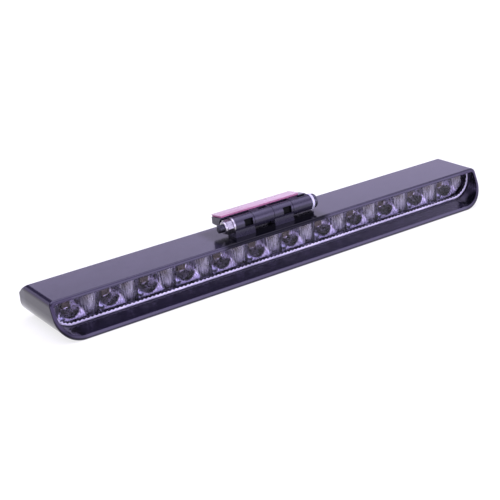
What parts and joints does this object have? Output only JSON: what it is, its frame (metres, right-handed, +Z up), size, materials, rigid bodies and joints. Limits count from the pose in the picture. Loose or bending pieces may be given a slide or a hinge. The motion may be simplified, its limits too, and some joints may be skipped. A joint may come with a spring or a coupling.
{
  "type": "third brake light",
  "caption": "High-mount brake light: long black hooded bar with clear lens over a row of reflector cells, and an adhesive friction-hinge mount on top.",
  "frame": {"origin": "on the flat underside, halfway along the bar and halfway from the hood's lower lip to the back", "axes": "+X along the bar, -Y the way the lamp shines, +Z up"},
  "size_m": [0.3056, 0.0534, 0.0369],
  "materials": {
    "black_housing": "satin moulded ABS",
    "black_hinge": "satin moulded nylon",
    "black_rubber": "matte",
    "black_steel": "black oxide",
    "clear_lens": "polished clear polycarbonate",
    "chrome_reflector": "vacuum-metallised ABS, mirror bright",
    "board_green": "solder-masked glass-fibre laminate",
    "led_package": "white package with clear gel",
    "component_black": "moulded",
    "socket_white": "moulded nylon",
    "zinc_steel": "zinc-plated",
    "white_nylon": "moulded",
    "foam_tape": "closed-cell foam tape",
    "pink_film": "release film"
  },
  "bodies": {
    "lamp": {"board_screws": "zinc_steel", "bracket_screws": "black_steel", "cable_gland": "black_rubber", "circuit_board": "board_green", "cover_gasket": "black_rubber", "cover_screws": "black_steel", "flat_washer": "zinc_steel", "hinge_bracket": "black_hinge", "housing": "black_housing", "led_01": "led_package", "led_02": "led_package", "led_03": "led_package", "led_04": "led_package", "led_05": "led_package", "led_06": "led_package", "led_07": "led_package", "led_08": "led_package", "led_09": "led_package", "led_10": "led_package", "led_11": "led_package", "led_12": "led_package", "lens": "clear_lens", "lens_seal": "black_rubber", "lock_nut": "zinc_steel", "nylon_spacer": "white_nylon", "pivot_bolt": "black_steel", "polarity_diode": "component_black", "rear_cover": "black_housing", "reflector": "chrome_reflector", "resistor_1": "component_black", "resistor_2": "component_black", "resistor_3": "component_black", "resistor_4": "component_black", "supply_socket": "socket_white"},
    "mount": {"mount_leaf": "black_hinge", "adhesive_pad": "foam_tape", "release_film": "pink_film"}
  },
  "joints": [
    {"name": "mount_tilt", "type": "hinge", "parent": "lamp", "child": "mount", "pos_m": [0, -0.00683, 0.0304], "axis": [1, 0, 0], "range_deg": [-12, 150]}
  ]
}
